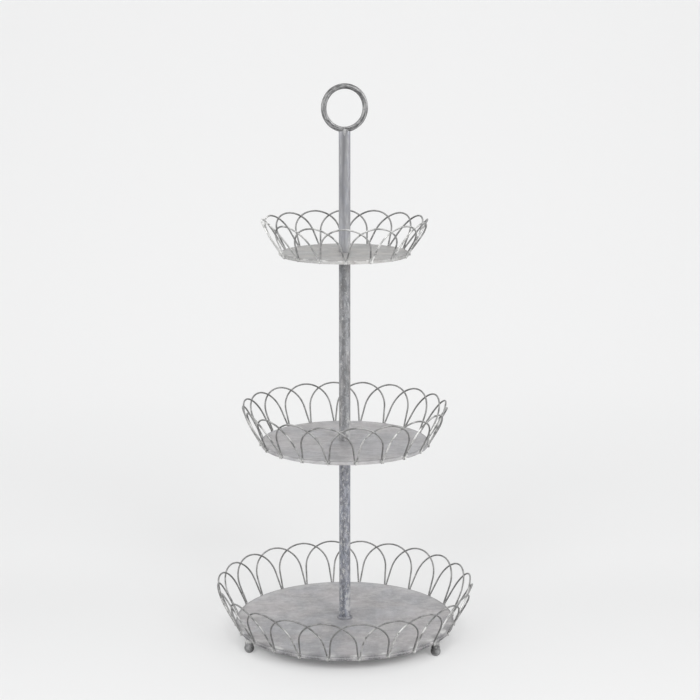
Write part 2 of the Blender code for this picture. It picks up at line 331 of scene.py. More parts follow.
def apply_modifiers(piece):
    take(piece)
    for step in list(piece.modifiers):
        bpy.ops.object.modifier_apply(modifier=step.name)


def copy_piece(pattern, name, angle):
    """Copy of a pattern with its own mesh, turned about the post."""
    take(pattern)
    bpy.ops.object.duplicate(linked=False)
    copy = named(name)
    copy.data.transform(Matrix.Rotation(angle, 4, "Z"))
    return copy


def throw_away(pattern):
    take(pattern)
    bpy.ops.object.delete()


def join_pieces(pieces, name):
    take(pieces[0])
    for piece in pieces:
        piece.select_set(True)
    bpy.ops.object.join()
    return named(name)


def dress(piece, material, slot, *nodes):
    """Give a finished piece its material and its body, and hide the nodes that it stands for; the slot is
    not used.
    """
    piece.data.materials.clear()
    piece.data.materials.append(material)
    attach(piece, "root")
    if nodes:
        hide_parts(*nodes)


def mark(piece, attribute, value_at, kind="FLOAT"):
    """Store a value from 0 to 1, or a vector, on every corner, for the material to read."""
    layer = piece.data.attributes.new(attribute, kind, "POINT")
    for corner, entry in zip(piece.data.vertices, layer.data):
        setattr(entry, "value" if kind == "FLOAT" else "vector", value_at(corner))


# Shader nodes

def feed(node, inputs):
    """Link other nodes' outputs to a node's inputs, or set these to plain numbers or colours."""
    for label, value in inputs.items():
        socket = node.inputs[label]
        if isinstance(value, bpy.types.NodeSocket):
            node.id_data.links.new(value, socket)
        else:
            socket.default_value = (*value, 1) if socket.type == "RGBA" else value


def add_node(tree, kind, inputs=None, **settings):
    """Add a node with its settings, and feed its inputs, which are named or numbered."""
    node = tree.nodes.new(kind)
    for key, value in settings.items():
        setattr(node, key, value)
    feed(node, inputs or {})
    return node


def remap(source, low, high, to_low=0.0, to_high=1.0):
    """Spread the part of a value between low and high over a new range."""
    inputs = {"Value": source, "From Min": low, "From Max": high, "To Min": to_low, "To Max": to_high}
    return add_node(source.id_data, "ShaderNodeMapRange", inputs,
                    interpolation_type="SMOOTHSTEP").outputs["Result"]


def calculate(operation, first, second, clamped=False):
    """Work with two values, at least one of which is another node's output."""
    wired = first if isinstance(first, bpy.types.NodeSocket) else second
    return add_node(wired.id_data, "ShaderNodeMath", {0: first, 1: second}, operation=operation,
                    use_clamp=clamped).outputs["Value"]


def times(first, second, clamped=False):
    return calculate("MULTIPLY", first, second, clamped)


def plus(first, second, clamped=False):
    return calculate("ADD", first, second, clamped)


def minus(first, second, clamped=False):
    return calculate("SUBTRACT", first, second, clamped)


def add_up(*terms):
    """Sum of (source, weight) pairs."""
    total = None
    for source, weight in terms:
        part = times(source, weight)
        total = part if total is None else plus(total, part)
    return total


def blend(share, first, second):
    inputs = {"Factor": share, 6: first, 7: second}
    return add_node(share.id_data, "ShaderNodeMix", inputs, data_type="RGBA").outputs[2]


def whitened(mask, strength, under):
    """Colour with whitewash over it where the mask says."""
    return blend(times(mask, strength), under, WASH_WHITE)


def noise_value(vector, scale, detail, roughness, distortion=0.0):
    values = {"Vector": vector, "Scale": scale, "Detail": detail, "Roughness": roughness,
              "Distortion": distortion}
    return add_node(vector.id_data, "ShaderNodeTexNoise", values).outputs["Fac"]


def stretched(vector, stretch):
    inputs = {"Vector": vector, "Scale": stretch}
    return add_node(vector.id_data, "ShaderNodeMapping", inputs).outputs["Vector"]


def marked(tree, name, output="Fac"):
    """Value that mark() stored under this name."""
    return add_node(tree, "ShaderNodeAttribute", attribute_name=name).outputs[output]


def scaled(colour, share):
    return tuple(channel * share for channel in colour)


def mask_group(name, scale, **values):
    """Node group that makes a mask from a vector, a scale and its further named values."""
    tree = bpy.data.node_groups.new(name, "ShaderNodeTree")
    tree.interface.new_socket("Vector", in_out="INPUT", socket_type="NodeSocketVector")
    for label, default in {"Scale": scale, **values}.items():
        socket = tree.interface.new_socket(label, in_out="INPUT", socket_type="NodeSocketFloat")
        socket.default_value = default
    tree.interface.new_socket("Mask", in_out="OUTPUT", socket_type="NodeSocketFloat")
    return tree, add_node(tree, "NodeGroupInput").outputs, add_node(tree, "NodeGroupOutput")


def layered_group(name, scale, broad, fine, finer, broad_share, low, high):
    """Broad marks with finer ones over them; each kind has its detail, roughness and distortion."""
    tree, given, result = mask_group(name, scale)
    marks = add_up((noise_value(given["Vector"], given["Scale"], *broad), broad_share),
                   (noise_value(given["Vector"], times(given["Scale"], finer), *fine), 1 - broad_share))
    feed(result, {"Mask": remap(marks, low, high)})
    return tree


def wash_group():
    """Where whitewash still clings: patches that fill in as Cover rises."""
    tree, given, result = mask_group("clinging_wash", 150.0, Cover=0.3)
    patch = noise_value(given["Vector"], given["Scale"], 8, 0.74, 0.3)
    limit = minus(0.74, times(given["Cover"], 0.48))
    feed(result, {"Mask": remap(minus(patch, limit), -0.03, 0.06)})
    return tree


def tint_group():
    """Slow changes between a cool and a warm grey: 0 cool, 1 warm."""
    tree, given, result = mask_group("zinc_tint", 16.0)
    slow = noise_value(given["Vector"], given["Scale"], 3, 0.55, 0.8)
    feed(result, {"Mask": remap(slow, 0.36, 0.64)})
    return tree


def use_group(group, vector, scale, **values):
    values = {"Vector": vector, "Scale": scale, **values}
    return add_node(vector.id_data, "ShaderNodeGroup", values, node_tree=group).outputs["Mask"]


# Cloudy patches of galvanised metal, and long marks of a brush or of drawing
MOTTLE = layered_group("zinc_mottle", 60.0, (6, 0.62, 0.6), (6, 0.7), 5.3, 0.6, 0.38, 0.62)
STREAKS = layered_group("brush_streaks", 200.0, (5, 0.7, 0.3), (4, 0.65), 3.1, 0.55, 0.38, 0.64)
WASH = wash_group()
TINT = tint_group()


def new_material(name):
    """Material with a Principled shader; returns it with its tree, shader and object vector."""
    material = bpy.data.materials.new(name)
    material.use_nodes = True
    tree = material.node_tree
    shader = tree.nodes["Principled BSDF"]
    place = add_node(tree, "ShaderNodeTexCoord").outputs["Object"]
    return material, tree, shader, place


def finish_shader(shader, colour, roughness, height, bump, metallic):
    inputs = {"Strength": 1.0, "Distance": bump, "Height": height}
    bumped = add_node(shader.id_data, "ShaderNodeBump", inputs).outputs["Normal"]
    feed(shader, {"Base Color": colour, "Roughness": roughness, "Metallic": metallic, "Normal": bumped})


def tinted_zinc(tint, tone, cool, warm, contrast):
    """Zinc between its cool and its warm grey, darker or lighter by the contrast as the tone says."""
    light = blend(tint, scaled(cool, 1 + contrast), scaled(warm, 1 + contrast))
    dark = blend(tint, scaled(cool, 1 - contrast), scaled(warm, 1 - contrast))
    return blend(tone, dark, light)


def tray_zinc(name, cool, warm, contrast, patchiness, streakiness):
    """Sheet zinc brushed with thin whitewash: clouds, streaks, scuffs, and a rubbed rim darkened with
    painted shade.
    """
    material, tree, shader, place = new_material(name)
    tint = use_group(TINT, place, 15.0)
    mottle = use_group(MOTTLE, stretched(place, (1.0, 0.7, 1.0)), 34.0)
    streaks = use_group(STREAKS, stretched(place, (0.2, 1.0, 1.0)), 160.0)
    grain = noise_value(stretched(place, (1.0, 0.5, 1.0)), 560.0, 3, 0.8)
    cloud = noise_value(place, 26.0, 3, 0.5, 0.4)
    tone = add_up((mottle, 0.2), (cloud, 0.42 - streakiness), (streaks, streakiness), (grain, 0.38))
    sheet = tinted_zinc(tint, remap(tone, 0.28, 0.72), cool, warm, contrast)

    cover = plus(add_up((marked(tree, "rim"), 0.3), (tint, 0.1)), patchiness)
    patches = use_group(WASH, stretched(place, (0.6, 1.0, 1.0)), 90.0, Cover=cover)
    scuffed = whitened(patches, 0.36, sheet)

    splash = marked(tree, "splash")
    arcs = noise_value(place, 24.0, 2, 0.5)
    cover = times(splash, remap(arcs, 0.42, 0.6, 0.4, 1.2))
    splashed = use_group(WASH, stretched(place, (0.5, 2.2, 1.0)), 95.0, Cover=cover)
    splashed = times(splashed, times(splash, 2.0, clamped=True))
    scuffed = whitened(splashed, 0.85, scuffed)

    # Painted shade on the rim wall and on the sheet inside the front rim; then the rolled corner darker.
    rim_shade = times(marked(tree, "wall"), remap(grain, 0.35, 0.6, 0.35, 0.8))
    shaded_colour = blend(rim_shade, scuffed, scaled(cool, 0.32))
    corner = times(marked(tree, "corner"), 0.45)
    shaded_colour = blend(corner, shaded_colour, scaled(cool, 0.45))

    wear = marked(tree, "wear")
    breaks = noise_value(place, 75.0, 3, 0.6)
    cover = times(wear, remap(breaks, 0.4, 0.6, 0.1, 0.72))
    rubbed = times(use_group(WASH, place, 230.0, Cover=cover), wear)
    colour = whitened(rubbed, 0.5, shaded_colour)

    roughness = remap(plus(tone, patches), 0.2, 1.5, 0.48, 0.78)
    height = add_up((grain, 0.35), (patches, 0.4), (rubbed, 0.7))
    metallic = minus(0.3, times(rubbed, 0.3), clamped=True)
    finish_shader(shader, colour, roughness, height, 0.00014, metallic)
    return material


def wire_zinc(name, dark, light):
    """Dark wire with a broken film of whitewash and painted highlight on its upper side and its washed
    parts, and whitewash in flecks.
    """
    material, tree, shader, place = new_material(name)
    wire = blend(use_group(MOTTLE, place, 150.0), dark, light)
    # washed is partly a painted highlight, on the front loops' inner legs.
    washed = marked(tree, "washed")
    # Film: whitewash and a painted highlight on the upper side, more where washed says.
    film = times(marked(tree, "upper"), plus(washed, 0.16, clamped=True))
    film = plus(film, times(washed, 0.7), clamped=True)
    broken = remap(noise_value(place, 75.0, 3, 0.55), 0.4, 0.56, 0.1, 1.0)
    broken = calculate("MAXIMUM", broken, remap(washed, 0.9, 1.0, 0.0, 0.62))
    film = times(film, broken)
    filmed = blend(film, wire, WASH_WHITE)
    cover = plus(add_up((washed, 0.3), (marked(tree, "foot"), 0.35)), 0.16)
    left = use_group(WASH, place, 420.0, Cover=cover)
    colour = whitened(left, 0.6, filmed)
    roughness = remap(plus(left, film), 0.0, 1.2, 0.34, 0.7)
    metallic = minus(0.5, times(film, 0.45), clamped=True)
    finish_shader(shader, colour, roughness, left, 0.00006, metallic)
    return material


def post_zinc(name, cool, warm, contrast, cloudiness, cloud_scale, cover, shade_depth):
    """Galvanised tube: cloudy, finely speckled, drawn lengthwise, with a painted dark reflection down it,
    and whitewash with a painted highlight round its foot.
    """
    material, tree, shader, place = new_material(name)
    settled = stretched(place, (1.0, 1.0, 0.5))
    tint = use_group(TINT, settled, 45.0)
    mottle = use_group(MOTTLE, settled, cloud_scale)
    streaks = use_group(STREAKS, stretched(place, (1.0, 1.0, 0.1)), 230.0)
    grain = noise_value(place, 620.0, 3, 0.75)
    tone = add_up((mottle, cloudiness), (streaks, 0.7 - cloudiness), (grain, 0.3))
    tube = tinted_zinc(tint, remap(tone, 0.25, 0.75), cool, warm, contrast)
    # Painted shade: the dark reflection band, the shaded left side and the blots darken the tube here.
    shade_and_blots = times(marked(tree, "shade_and_blots"), remap(streaks, 0.1, 0.7, 0.7, 1.0))
    shaded_colour = blend(times(shade_and_blots, shade_depth), tube, scaled(cool, 0.28))
    # end: whitewash round the foot, and a painted highlight on its right side.
    end = marked(tree, "end")
    speckle = use_group(WASH, stretched(place, (1.0, 1.0, 0.6)), 260.0,
                        Cover=plus(cover, times(end, 0.3)))
    colour = whitened(speckle, 0.6, whitened(end, 0.22, shaded_colour))
    roughness = remap(plus(tone, speckle), 0.2, 1.5, 0.32, 0.66)
    height = add_up((mottle, 0.25), (grain, 0.25), (speckle, 0.6))
    finish_shader(shader, colour, roughness, height, 0.0001, 0.5)
    return material


def small_zinc(name, dark, light, shade_dark, cover, metallic, roughness_low):
    """Zinc on small pieces: cloudy, darkened with painted shade where the edge attribute is 1, with a
    little whitewash.
    """
    material, tree, shader, place = new_material(name)
    mottle = use_group(MOTTLE, place, 150.0)
    grain = noise_value(place, 640.0, 3, 0.75)
    tone = remap(add_up((mottle, 0.55), (grain, 0.45)), 0.25, 0.75)
    metal = blend(tone, dark, light)
    # Painted shade where the edge attribute is set.
    edge = times(marked(tree, "edge"), remap(mottle, 0.0, 1.0, 1.0, 0.7))
    shaded = blend(edge, metal, shade_dark)
    cover = plus(times(marked(tree, "washed"), 0.55), cover)
    left = use_group(WASH, place, 260.0, Cover=cover)
    left = times(left, minus(1.0, times(edge, 0.8)))
    colour = whitened(left, 0.75, shaded)
    roughness = remap(plus(tone, left), 0.0, 1.4, roughness_low, roughness_low + 0.3)
    height = add_up((mottle, 0.3), (grain, 0.2), (left, 0.7))
    finish_shader(shader, colour, roughness, height, 0.00012, metallic)
    return material


def rod_zinc(name, dark, light, shade_line_dark):
    """Zinc rod with dark and light lines drawn along it, and lines of painted shade and dark reflection
    from the edge attribute; the rod's own vector says where.
    """
    material, tree, shader, place = new_material(name)
    along = marked(tree, "along", "Vector")
    mottle = use_group(MOTTLE, place, 130.0)
    drawn = use_group(STREAKS, along, 1.3)
    fine = use_group(STREAKS, along, 4.5)
    grain = noise_value(place, 640.0, 3, 0.75)
    tone = add_up((drawn, 0.35), (fine, 0.2), (mottle, 0.15), (grain, 0.3))
    metal = blend(remap(tone, 0.32, 0.66), dark, light)
    # Painted shade and dark reflection lines.
    line = times(marked(tree, "edge"), remap(fine, 0.1, 0.8, 1.0, 0.45))
    lined = blend(line, metal, shade_line_dark)
    left = use_group(WASH, along, 5.0, Cover=0.34)
    left = times(left, minus(1.0, line))
    colour = whitened(left, 0.55, lined)
    roughness = remap(plus(tone, left), 0.0, 1.4, 0.3, 0.58)
    height = add_up((drawn, 0.3), (grain, 0.2), (left, 0.5))
    finish_shader(shader, colour, roughness, height, 0.00012, 0.75)
    return material


TRAY_FINISH = {
    "top": tray_zinc("top_tray_zinc", (0.363, 0.362, 0.359), (0.375, 0.364, 0.353),
                     contrast=0.22, patchiness=0.26, streakiness=0.36),
    "middle": tray_zinc("middle_tray_zinc", (0.415, 0.412, 0.426), (0.425, 0.412, 0.418),
                        contrast=0.2, patchiness=0.34, streakiness=0.22),
    "bottom": tray_zinc("bottom_tray_zinc", (0.383, 0.382, 0.398), (0.397, 0.382, 0.388),
                        contrast=0.2, patchiness=0.4, streakiness=0.12),
}
WIRE_FINISH = wire_zinc("gallery_wire_zinc", (0.114, 0.114, 0.113), (0.214, 0.214, 0.213))
DAB_FINISH = small_zinc("gallery_weld_zinc", (0.36, 0.36, 0.36), (0.56, 0.56, 0.56), (0.3, 0.3, 0.3),
                        cover=0.8, metallic=0.2, roughness_low=0.5)
WELD_FINISH = small_zinc("ring_weld_zinc", (0.2, 0.2, 0.203), (0.33, 0.33, 0.333), (0.12, 0.12, 0.12),
                         cover=0.24, metallic=0.4, roughness_low=0.4)
POST_FINISH = {
    "upper": post_zinc("upper_post_zinc", (0.3, 0.305, 0.332), (0.315, 0.315, 0.326), contrast=0.16,
                       cloudiness=0.12, cloud_scale=95.0, cover=0.12, shade_depth=0.7),
    "middle": post_zinc("middle_post_zinc", (0.252, 0.256, 0.268), (0.264, 0.261, 0.264), contrast=0.3,
                        cloudiness=0.45, cloud_scale=120.0, cover=0.32, shade_depth=0.55),
    "lower": post_zinc("lower_post_zinc", (0.234, 0.247, 0.287), (0.27, 0.272, 0.299), contrast=0.34,
                       cloudiness=0.5, cloud_scale=170.0, cover=0.4, shade_depth=0.5),
}
RING_FINISH = rod_zinc("ring_zinc", (0.16, 0.16, 0.162), (0.455, 0.455, 0.457), (0.036, 0.036, 0.038))
FOOT_FINISH = small_zinc("foot_zinc", (0.16, 0.16, 0.161), (0.34, 0.34, 0.343), (0.05, 0.05, 0.05),
                         cover=0.2, metallic=0.6, roughness_low=0.28)
COLLAR_FINISH = small_zinc("collar_zinc", (0.165, 0.168, 0.186), (0.27, 0.273, 0.292), (0.12, 0.12, 0.13),
                           cover=0.2, metallic=0.5, roughness_low=0.4)
FIXING_FINISH = small_zinc("fixing_steel", (0.42, 0.42, 0.43), (0.58, 0.58, 0.58), (0.3, 0.3, 0.3),
                           cover=0.05, metallic=0.9, roughness_low=0.28)


# Trays

def rim_wave(angle, tier):
    """Smooth unevenness from -1 to 1 round a rim."""
    turn = Vector((cos(angle), sin(angle), tier.level))
    return noise.noise(turn * 9) * 0.7 + noise.noise(turn * 27) * 0.5


def make_tray(tier):
    """Disc with its rim turned down, its top corner rolled over and its cut edge left uneven."""
    cut_edge = tier.level - RIM_DEPTH
    tray = add_cylinder(tier.name + "_tray_sheet", RIM_FACETS, tier.radius, cut_edge, tier.level)
    open_mesh(tray)
    pick(tray, "FACE", facing_down)
    bpy.ops.mesh.inset(thickness=TRAY_SHEET)
    draw_up(RIM_DEPTH - TRAY_SHEET)
    punch_hole(tray, tier)
    pick(tray, "EDGE", lambda edge: at_level(edge, tier.level) and at_radius(edge, tier.radius))
    bpy.ops.mesh.bevel(offset=RIM_ROUND, segments=5, affect="EDGES")
    pick(tray, "EDGE", lambda edge: at_level(edge, cut_edge)
         and (at_radius(edge, tier.radius) or at_radius(edge, tier.radius - TRAY_SHEET)))
    bpy.ops.mesh.bevel(offset=RIM_BURR, segments=2, affect="EDGES")
    for drop in (RIM_SHADE_TOP, RIM_SHADE_FOOT):
        cut_across(tier.level - drop)
    close_mesh(tray)
    for corner in tray.data.vertices:
        beat_sheet(corner, tier)
    # The wall attribute is painted shade.
    for attribute, value_at in (("wear", rim_wear), ("wall", rim_painted_shade), ("corner", rim_corner),
                                ("rim", rim_wash), ("splash", rim_splash)):
        mark(tray, attribute, lambda corner: value_at(corner.co, tier))
    soften(tray, 50)
    dress(tray, TRAY_FINISH[tier.name], "washed_sheet", tier.name + "_tray")


def punch_hole(tray, tier):
    """Inset the upper and the lower sheet face ring by ring, and join them through the stud hole."""
    levels = (tier.level, tier.level - TRAY_SHEET)
    radii = (tier.radius, tier.radius - TRAY_SHEET)
    for level, radius in zip(levels, radii):
        rings = [radius - FIRST_RING_INSET - step * RING_WIDTH
                 for step in range(int((radius - RINGS_END_RADIUS) / RING_WIDTH))]
        for ring in (*rings, SEAT_EDGE_RADIUS, STUD_HOLE_RADIUS):
            pick(tray, "FACE", lambda face: len(face.verts) == RIM_FACETS
                 and abs(face.calc_center_median().z - level) < 0.0001)
            bpy.ops.mesh.inset(thickness=(radius - ring) * cos(pi / RIM_FACETS))
            radius = ring
    pick(tray, "FACE", lambda face: len(face.verts) == RIM_FACETS)
    bpy.ops.mesh.bridge_edge_loops()


def beat_sheet(corner, tier):
    """Give the flat sheet its slight waves, and the cut edge its unevenness."""
    reach = hypot(corner.co.x, corner.co.y)
    inside = clamp((tier.radius - FIRST_RING_INSET - reach) / WAVE_FADE)
    beside_post = clamp((reach - STILL_RADIUS) / WAVE_FADE)
    spot = Vector((corner.co.x, corner.co.y, tier.level * 3)) / SHEET_WAVE_LENGTH
    corner.co.z -= SHEET_WAVE * (0.5 + 0.5 * noise.noise(spot)) * inside * beside_post
    drop = tier.level - corner.co.z
    if reach > tier.radius - TRAY_SHEET * 1.5 and drop > RIM_ROUND:
        angle = atan2(corner.co.y, corner.co.x)
        share = (drop - RIM_ROUND) / (RIM_DEPTH - RIM_ROUND)
        lift = RIM_UNEVENNESS * (0.5 + 0.5 * rim_wave(angle, tier)) * share
        pull = RIM_UNEVENNESS * (0.5 + 0.5 * rim_wave(angle + 2, tier)) * share * 0.6
        corner.co.z += lift
        corner.co.x -= pull * cos(angle)
        corner.co.y -= pull * sin(angle)


def front_share(co, tier):
    """0 at the back of a tray, rising to 1 along its front half."""
    return clamp(0.6 - co.y / tier.radius)


def beside_foot(co, tier):
    """1 where two wires stand at the rim, and less halfway between; even at the back."""
    turns = (atan2(co.y, co.x) - tier.turn) / tier.pitch
    away = abs(turns - round(turns)) * 2
    least = tier.marks["wash_between_feet"]
    share = least + (1 - least) * clamp(1.35 - away * 1.6)
    return WASH_AT_BACK + (share - WASH_AT_BACK) * front_share(co, tier)


def rim_wear(co, tier):
    """Wear of the rim's rolled corner and, less, of its cut edge; most beside the wires' feet."""
    drop = tier.level - co.z
    if hypot(co.x, co.y) < tier.radius - TRAY_SHEET * 2.2:
        return 0.0
    if drop < RIM_CORNER:
        return beside_foot(co, tier)
    at_edge = drop > RIM_DEPTH - RIM_UNEVENNESS - RIM_BURR * 2
    return tier.marks["edge_wear"] * beside_foot(co, tier) if at_edge else 0.0


def rim_corner(co, tier):
    """1 on the rolled corner of the rim."""
    return 1.0 if rim_wear(co, tier) and tier.level - co.z < RIM_CORNER else 0.0


def rim_painted_shade(co, tier):
    """Painted shade on the rim's upright wall, least by the wires' feet, and on the sheet just inside the
    rim between them, more towards the front.
    """
    drop = tier.level - co.z
    near = rim_nearness(co, tier)
    if drop < RIM_CORNER:
        between = (1 - beside_foot(co, tier)) * (0.9 + 0.6 * rim_wave(atan2(co.y, co.x) + 4, tier))
        return tier.marks["rim_shade"] * near * front_share(co, tier) * clamp(between * 1.5)
    if near < 0.85:
        return 0.0
    share = 0.25 if drop < (RIM_ROUND + RIM_SHADE_TOP) / 2 else 1.0
    return tier.marks["rim_shade"] * share * (1.45 - beside_foot(co, tier))


def rim_nearness(co, tier):
    return clamp((hypot(co.x, co.y) - tier.radius + RIM_BAND) / RIM_BAND)


def rim_wash(co, tier):
    """Where the sheet keeps more whitewash: along the rim, and most beside the wires' feet."""
    return rim_nearness(co, tier) * beside_foot(co, tier)


def rim_splash(co, tier):
    """Whitewash that ran off the wires' feet, on the sheet just inside the rim."""
    inside = tier.radius - hypot(co.x, co.y)
    if inside < RIM_ROUND * 1.1:
        return 0.0
    near = max(0.0, 1 - inside / SPLASH_REACH) * tier.marks["splash"]
    return near * beside_foot(co, tier) * front_share(co, tier)


# Wire galleries, on the same lines as the frame's

def foot_reach(tier):
    return tier.radius + WIRE_GAP + WIRE_RADIUS


def foot_half_angle(tier):
    return asin((WIRE_RADIUS + WIRE_GAP / 2) / foot_reach(tier))


def arch_frame(tier):
    """Plane of one loop: its distance at the feet, half its span, and its lean outwards."""
    swing = tier.pitch - foot_half_angle(tier)
    distance = foot_reach(tier) * cos(swing)
    half_span = foot_reach(tier) * sin(swing)
    return distance, half_span, tier.radius + GALLERY_FLARE - distance


def crossing_shares(tier):
    """Where a loop crosses the next one, as shares of its half span and of its rise."""
    distance, half_span, lean = arch_frame(tier)
    height_share = 1
    for _ in range(8):
        side_share = (distance + lean * height_share) * tan(tier.pitch / 2) / half_span
        height_share = 1 - ARCH_SHARE + ARCH_SHARE * sqrt(max(0, 1 - side_share ** 2))
    return side_share, height_share


def loop_point(tier, side_share, height_share):
    """Point of the loop whose plane faces +X; its leading leg passes outside the next loop."""
    distance, half_span, lean = arch_frame(tier)
    crossing_side, crossing_height = crossing_shares(tier)
    slope = hypot(lean, tier.rise)
    clearance = WIRE_RADIUS + WIRE_GAP / 2
    twist = clearance * side_share * height_share / (crossing_side * crossing_height)
    out = distance + lean * height_share + twist * tier.rise / slope
    up = tier.rise * height_share - twist * lean / slope
    return Vector((out, half_span * side_share, up))


def loop_points(tier, angle):
    shares = [(-1, share / 3) for share in (0, 0.4, 0.8)]
    for step in range(ARCH_FACETS + 1):
        swing = pi * step / ARCH_FACETS
        shares.append((-cos(swing), 1 - ARCH_SHARE + ARCH_SHARE * sin(swing)))
    shares += [(1, share / 3) for share in (0.8, 0.4, 0)]
    turn = Matrix.Rotation(angle, 3, "Z")
    return [turn @ loop_point(tier, side, height) for side, height in shares]


def rim_point(tier, angle, height):
    reach = foot_reach(tier)
    return Vector((reach * cos(angle), reach * sin(angle), height))


def double_loop(tier):
    """Middle line of a wire that makes two loops with a folded foot between them."""
    half = foot_half_angle(tier)
    fold_radius = WIRE_RADIUS + WIRE_GAP / 2
    fold_level = -RIM_DEPTH + WIRE_RADIUS + fold_radius
    fold = []
    for step in range(5):
        swing = pi * step / 4
        angle = 2 * tier.pitch - half * cos(swing)
        fold.append(rim_point(tier, angle, fold_level - fold_radius * sin(swing)))
    start = [rim_point(tier, half, height) for height in (-RIM_DEPTH, -RIM_DEPTH / 2)]
    end = [rim_point(tier, 4 * tier.pitch - half, height) for height in (-RIM_DEPTH / 2, -RIM_DEPTH)]
    return start + loop_points(tier, tier.pitch) + fold + loop_points(tier, 3 * tier.pitch) + end


def rounded_line(points):
    """Cut every corner of a line once, so that its bends run smoothly."""
    line = [points[0]]
    for first, second in zip(points, points[1:]):
        line += [first.lerp(second, 0.25), first.lerp(second, 0.75)]
    return line + [points[-1]]


def hand_bent(point, tier):
    """Move a point as the wires of a hand-made gallery stray: inwards and down, more at the top."""
    height_share = clamp((point.z - tier.level) / tier.rise)
    reach = hypot(point.x, point.y)
    spot = Vector((point.x, point.y, tier.level * 2)) / HAND_BEND_LENGTH
    stray = shift_at(spot) * HAND_BEND * height_share
    out = Vector((point.x, point.y, 0)) / reach
    side = Vector((-out.y, out.x, 0))
    return point - out * abs(stray.x) + side * stray.y * 0.8 - Vector((0, 0, abs(stray.z) * 0.5))


def bend_wire(name, points):
    """Round wire along a line of points, made as a curve and turned into a mesh."""
    start_clean()
    bpy.ops.curve.primitive_bezier_curve_add(location=(0, 0, 0))
    line = bpy.context.object.data
    line.splines.clear()
    spline = line.splines.new("POLY")
    spline.points.add(len(points) - 1)
    for knot, point in zip(spline.points, points):
        knot.co = (*point, 1)
    line.dimensions = "3D"
    line.bevel_depth = WIRE_RADIUS
    line.bevel_resolution = 3
    line.use_fill_caps = True
    bpy.ops.object.convert(target="MESH")
    wire = named(name)
    open_mesh(wire, "VERT")
    merge_doubles()
    return close_mesh(wire)


def make_gallery(tier):
    """Woven pairs of double loops: one starts at a foot and its mate at the next foot."""
    lift = Vector((0, 0, tier.level))
    line = [point + lift for point in rounded_line(double_loop(tier))]
    pattern = bend_wire(tier.name + "_wire_pattern", line)
    mark(pattern, "foot", lambda corner: clamp(1 - (corner.co.z - tier.level) / FOOT_WHITE_LENGTH))
    soften(pattern, 60)
    number = 0
    for first_foot in range(0, tier.loops, 4):
        for foot in (first_foot, first_foot + 1):
            number += 1
            angle = tier.turn + foot * tier.pitch
            wire = copy_piece(pattern, f"{tier.name}_loop_wire_{number:02d}", angle)
            # washed: a painted highlight on the front loops' inner legs, and whitewash at the ends.
            mark(wire, "washed", lambda corner: leg_highlight_and_wash(corner.co, tier, angle))
            # The upper side gets a film that is whitewash and a painted highlight, where light from above
            # falls.
            mark(wire, "upper", lambda corner: clamp(corner.normal.z * 1.5 + 0.15))
            for corner in wire.data.vertices:
                corner.co = hand_bent(corner.co, tier)
            dress(wire, WIRE_FINISH, "dark_wire", f"{tier.name}_gallery_wire_{number:02d}")
    throw_away(pattern)


def leg_highlight_and_wash(co, tier, start):
    """1 where a wire is whitened: a painted highlight on the inner leg of each front loop, and whitewash
    at the ends.
    """
    angle = atan2(co.y, co.x)
    front = (angle + pi / 2 + pi) % (2 * pi) - pi
    leg = (angle - start) % (2 * tier.pitch) / tier.pitch - 1
    # Painted highlight on the inner legs of the front loops.
    inner = clamp(-leg * front / (0.35 + abs(front)) * 2.2) * (0.35 if front < 0 else 0.9)
    in_front = clamp((LEG_HIGHLIGHT_FRONT - abs(front)) / 0.5)
    low_down = clamp((0.92 - (co.z - tier.level) / tier.rise) / 0.25)
    at_side = max(0.0, 1 - abs(abs(front) - WASHED_SIDE) / 0.5)
    if tier is TOP and front < 0:
        at_side = clamp(at_side * 2.6)
    else:
        at_side *= tier.marks["washed_ends"][0 if front < 0 else 1] * max(low_down, 0.1)
    all_front = tier.marks["washed_front"] * clamp(cos(front) * 3)
    return max(inner * in_front * low_down, at_side, all_front)


def make_drop(name, widths):
    """Ball of molten metal pressed to the widths of a weld."""
    drop = add_piece(name, bpy.ops.mesh.primitive_uv_sphere_add, segments=16, ring_count=10, radius=0.5,
                     location=(0, 0, 0))
    open_mesh(drop, "VERT")
    pick_all()
    bpy.ops.transform.resize(value=widths)
    return close_mesh(drop)


def set_down(drop, place, angle, size=1.0):
    """Turn a drop about the post's direction, set it at its place and roughen it there."""
    turn = Matrix.Rotation(angle, 3, "Z")
    for corner in drop.data.vertices:
        spot = turn @ (corner.co * size) + place
        corner.co = spot + shift_at(spot / DAB_GRAIN) * DAB_ROUGHNESS


def make_gallery_welds(tier):
    """A dab of weld over each pair of wires and the rim behind them."""
    pattern = make_drop(tier.name + "_dab_pattern", DAB_WIDTHS)
    dabs = []
    for foot in range(tier.loops):
        angle = tier.turn + foot * tier.pitch
        height = tier.level - RIM_DEPTH * (0.52 + 0.12 * noise_at(foot, 0.5, tier.level))
        place = rim_point(tier, angle, height) - Vector((cos(angle), sin(angle), 0)) * WIRE_RADIUS * 0.7
        size = 0.85 + 0.25 * noise_at(foot * 0.7, 3.1, tier.level * 5)
        dab = copy_piece(pattern, f"{tier.name}_dab_{foot:02d}", 0)
        set_down(dab, place, angle, size)
        dabs.append(dab)
    throw_away(pattern)
    welds = join_pieces(dabs, tier.name + "_gallery_welds")
    soften(welds, 180)
    dress(welds, DAB_FINISH, "dark_wire")


# Post

